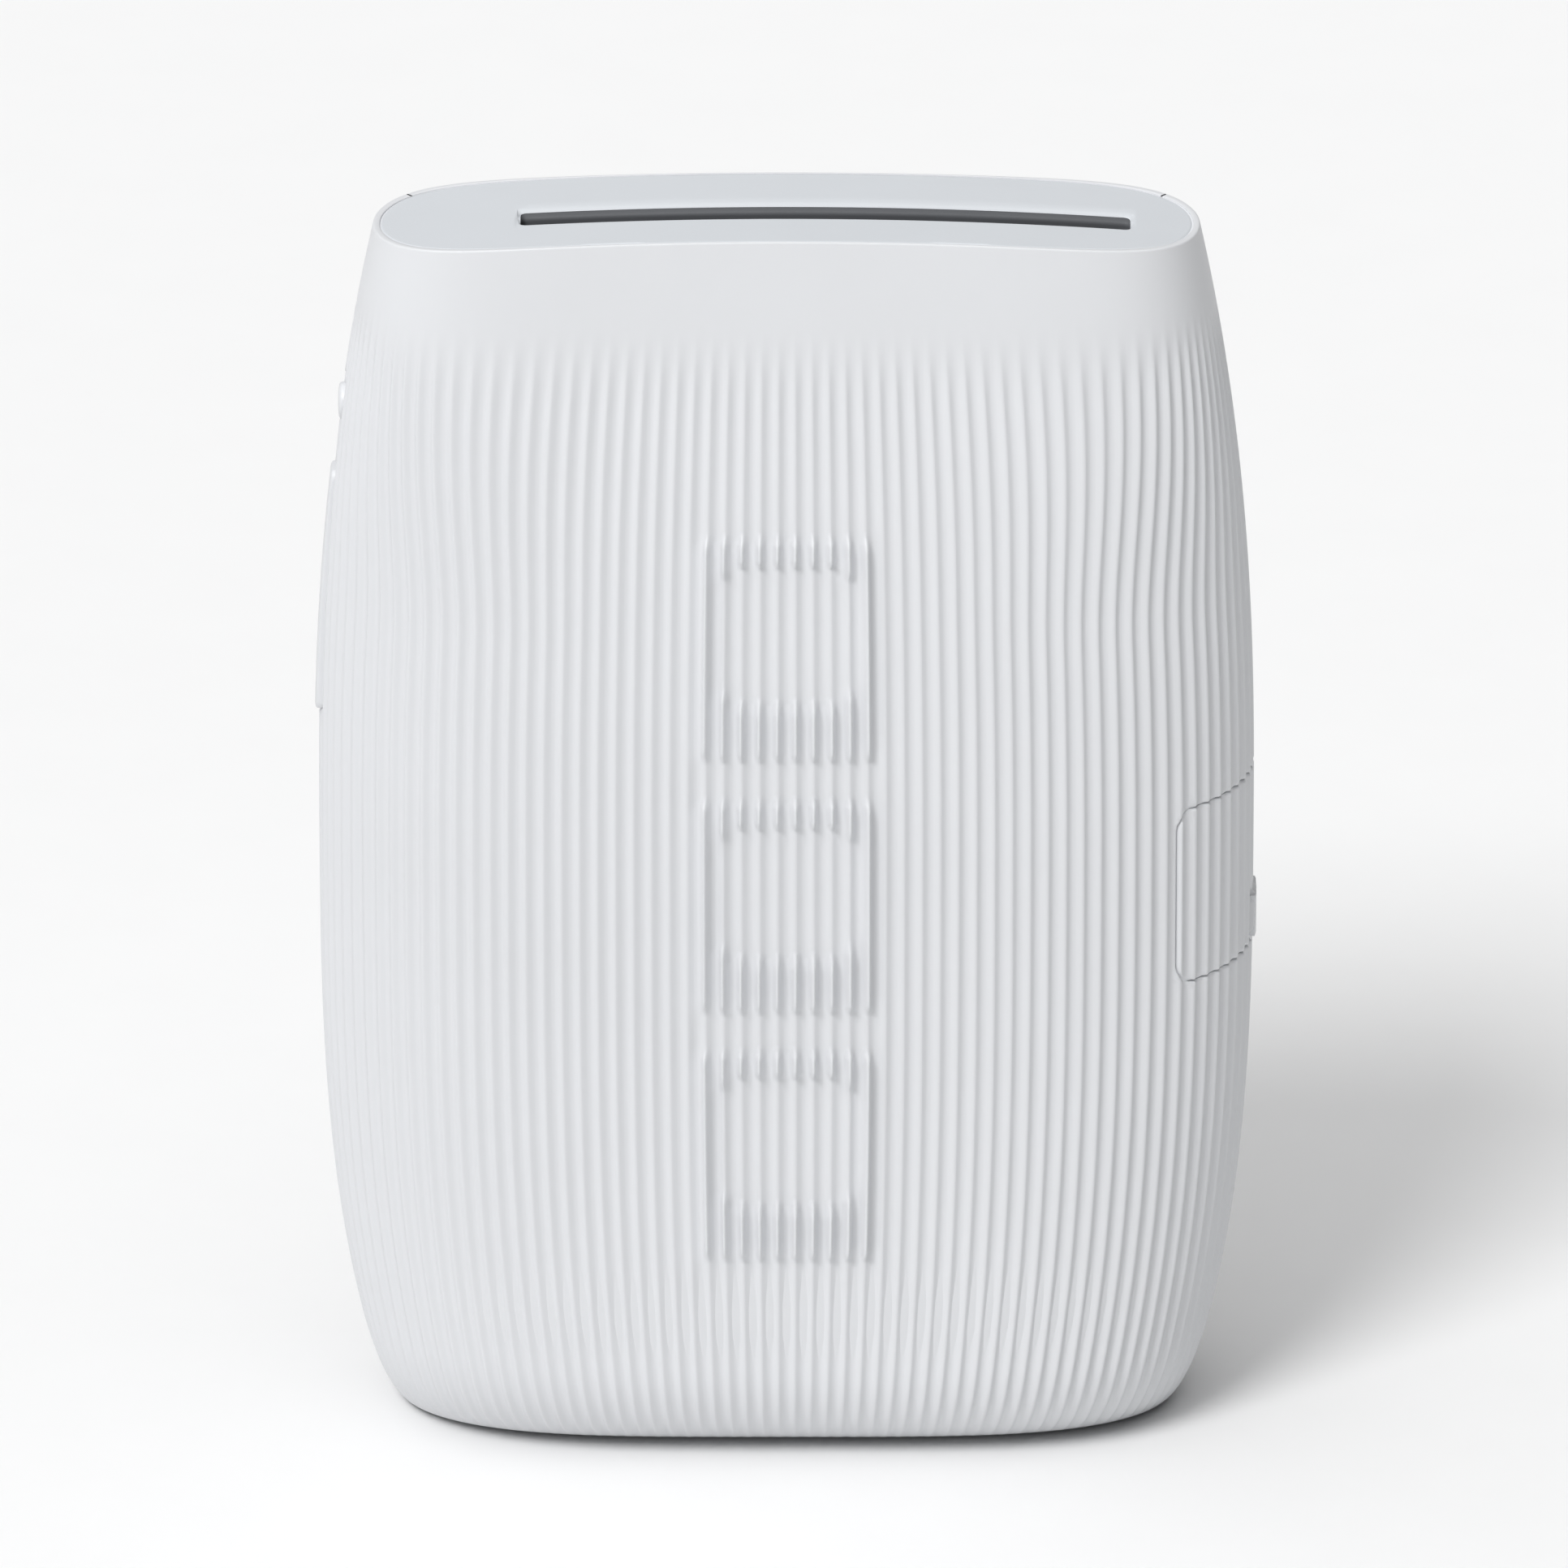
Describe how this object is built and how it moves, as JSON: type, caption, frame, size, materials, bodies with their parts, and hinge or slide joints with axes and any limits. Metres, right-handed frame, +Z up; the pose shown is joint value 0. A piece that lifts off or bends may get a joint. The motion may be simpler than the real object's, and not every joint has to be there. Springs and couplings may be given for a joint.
{
  "type": "instant film printer",
  "caption": "Slim fluted pocket printer for instant film, with a film slot in its top, a hinged film door at the back and rollers driven by a small motor inside.",
  "frame": {"origin": "centre of the base, on the surface the printer stands on", "axes": "+Z up, +X to the right seen from the front, the front faces -Y"},
  "size_m": [0.0907, 0.0368, 0.124],
  "materials": {
    "white_shell": "satin moulded white, fluted",
    "grey_cap": "fine matt light grey",
    "white_trim": "satin white",
    "black_plastic": "black, light-tight",
    "felt": "black felt",
    "foam": "closed-cell foam",
    "steel": "turned steel",
    "spring_steel": "spring wire",
    "plate_steel": "pressed and plated",
    "bronze": "sintered bronze",
    "gear_white": "moulded acetal",
    "roller_rubber": "ground roller rubber",
    "motor_can": "drawn can",
    "board_green": "solder mask",
    "chip_black": "moulded packages",
    "can_metal": "tinned shield",
    "battery_foil": "laminated pouch",
    "connector_white": "nylon",
    "lead_red": "insulated wire",
    "lens_glass": "rod lenses",
    "screw_steel": "black zinc",
    "socket_steel": "plated shell"
  },
  "bodies": {
    "case": {"front_shell": "white_shell", "rear_shell": "white_shell", "top_cap": "grey_cap", "slot_light_seal": "felt", "film_chamber": "black_plastic", "chamber_light_seal": "foam", "hinge_pins": "steel", "port_bezel": "black_plastic", "usb_socket": "socket_steel", "button_switch": "chip_black", "button_board": "board_green", "roller_bushes": "bronze", "gear_plate": "plate_steel", "roller_bracket": "plate_steel", "gear_pins": "steel", "gear_clips": "spring_steel", "drive_motor": "motor_can", "motor_screws": "screw_steel", "claw_guide": "black_plastic", "print_head_housing": "black_plastic", "head_board": "board_green", "head_lens_bar": "lens_glass", "main_board": "board_green", "board_standoffs": "black_plastic", "board_screws": "screw_steel", "shield_can": "can_metal", "board_chips": "chip_black", "battery_tray": "black_plastic", "battery_pack": "battery_foil", "battery_connector": "connector_white", "battery_leads": "lead_red", "case_screws": "screw_steel"},
    "door": {"film_door": "white_shell", "door_plate": "black_plastic", "pad_spring_left": "spring_steel", "pad_spring_right": "spring_steel"},
    "pad_left": {"pressure_pad_left": "black_plastic"},
    "pad_right": {"pressure_pad_right": "black_plastic"},
    "port_flap": {"port_cover": "white_shell"},
    "latch": {"latch_slider": "white_trim", "latch_hook": "black_plastic", "latch_spring": "spring_steel"},
    "button": {"power_button": "white_trim"},
    "pinion": {"motor_pinion": "gear_white", "motor_shaft": "steel"},
    "reduction": {"reduction_gear": "gear_white"},
    "idler": {"idler_gear": "gear_white"},
    "front_roller": {"front_roller_shaft": "steel", "front_roller_sleeve": "roller_rubber", "front_roller_gear": "gear_white"},
    "rear_roller": {"rear_roller_shaft": "steel", "rear_roller_gear": "gear_white"},
    "claw": {"film_claw": "plate_steel"}
  },
  "joints": [
    {"name": "door_hinge", "type": "hinge", "parent": "case", "child": "door", "pos_m": [0.0037, 0.0174, 0.0104], "axis": [-1, 0, 0], "range_deg": [0, 90]},
    {"name": "latch_slide", "type": "slide", "parent": "case", "child": "latch", "axis": [0, 0, 1], "range_m": [0, 0.0035], "stiffness_N_per_m": 300, "springref_m": -0.001, "deforming": ["latch_spring"]},
    {"name": "power_press", "type": "slide", "parent": "case", "child": "button", "axis": [1, 0, 0], "range_m": [0, 0.0005], "stiffness_N_per_m": 1000, "springref_m": -0.0003},
    {"name": "port_cover_hinge", "type": "hinge", "parent": "case", "child": "port_flap", "pos_m": [0.03777, -0.01272, 0.058], "axis": [0, 0, -1], "range_deg": [0, 100]},
    {"name": "pad_left_slide", "type": "slide", "parent": "door", "child": "pad_left", "axis": [0, 1, 0], "range_m": [0, 0.0012], "stiffness_N_per_m": 400, "springref_m": -0.0005, "deforming": ["pad_spring_left"]},
    {"name": "pad_right_slide", "type": "slide", "parent": "door", "child": "pad_right", "axis": [0, 1, 0], "range_m": [0, 0.0012], "stiffness_N_per_m": 400, "springref_m": -0.0005, "deforming": ["pad_spring_right"]},
    {"name": "front_roller_spin", "type": "hinge", "parent": "case", "child": "front_roller", "pos_m": [0, -0.0047, 0.112], "axis": [1, 0, 0], "continuous": true},
    {"name": "rear_roller_spin", "type": "hinge", "parent": "case", "child": "rear_roller", "pos_m": [0, 0.0023, 0.112], "axis": [1, 0, 0], "continuous": true},
    {"name": "idler_spin", "type": "hinge", "parent": "case", "child": "idler", "pos_m": [0, 0.00061, 0.10294], "axis": [1, 0, 0], "continuous": true},
    {"name": "reduction_spin", "type": "hinge", "parent": "case", "child": "reduction", "pos_m": [0, -0.0007, 0.09303], "axis": [1, 0, 0], "continuous": true},
    {"name": "pinion_spin", "type": "hinge", "parent": "case", "child": "pinion", "pos_m": [0, -0.0085, 0.086], "axis": [1, 0, 0], "continuous": true},
    {"name": "claw_slide", "type": "slide", "parent": "case", "child": "claw", "axis": [0, 0, 1], "range_m": [0, 0.006]}
  ],
  "couplings": [
    {"joint": "rear_roller_spin", "follows": "front_roller_spin", "ratio": -1},
    {"joint": "idler_spin", "follows": "front_roller_spin", "ratio": -0.5},
    {"joint": "reduction_spin", "follows": "front_roller_spin", "ratio": 1.1667},
    {"joint": "pinion_spin", "follows": "front_roller_spin", "ratio": -2.9167}
  ]
}
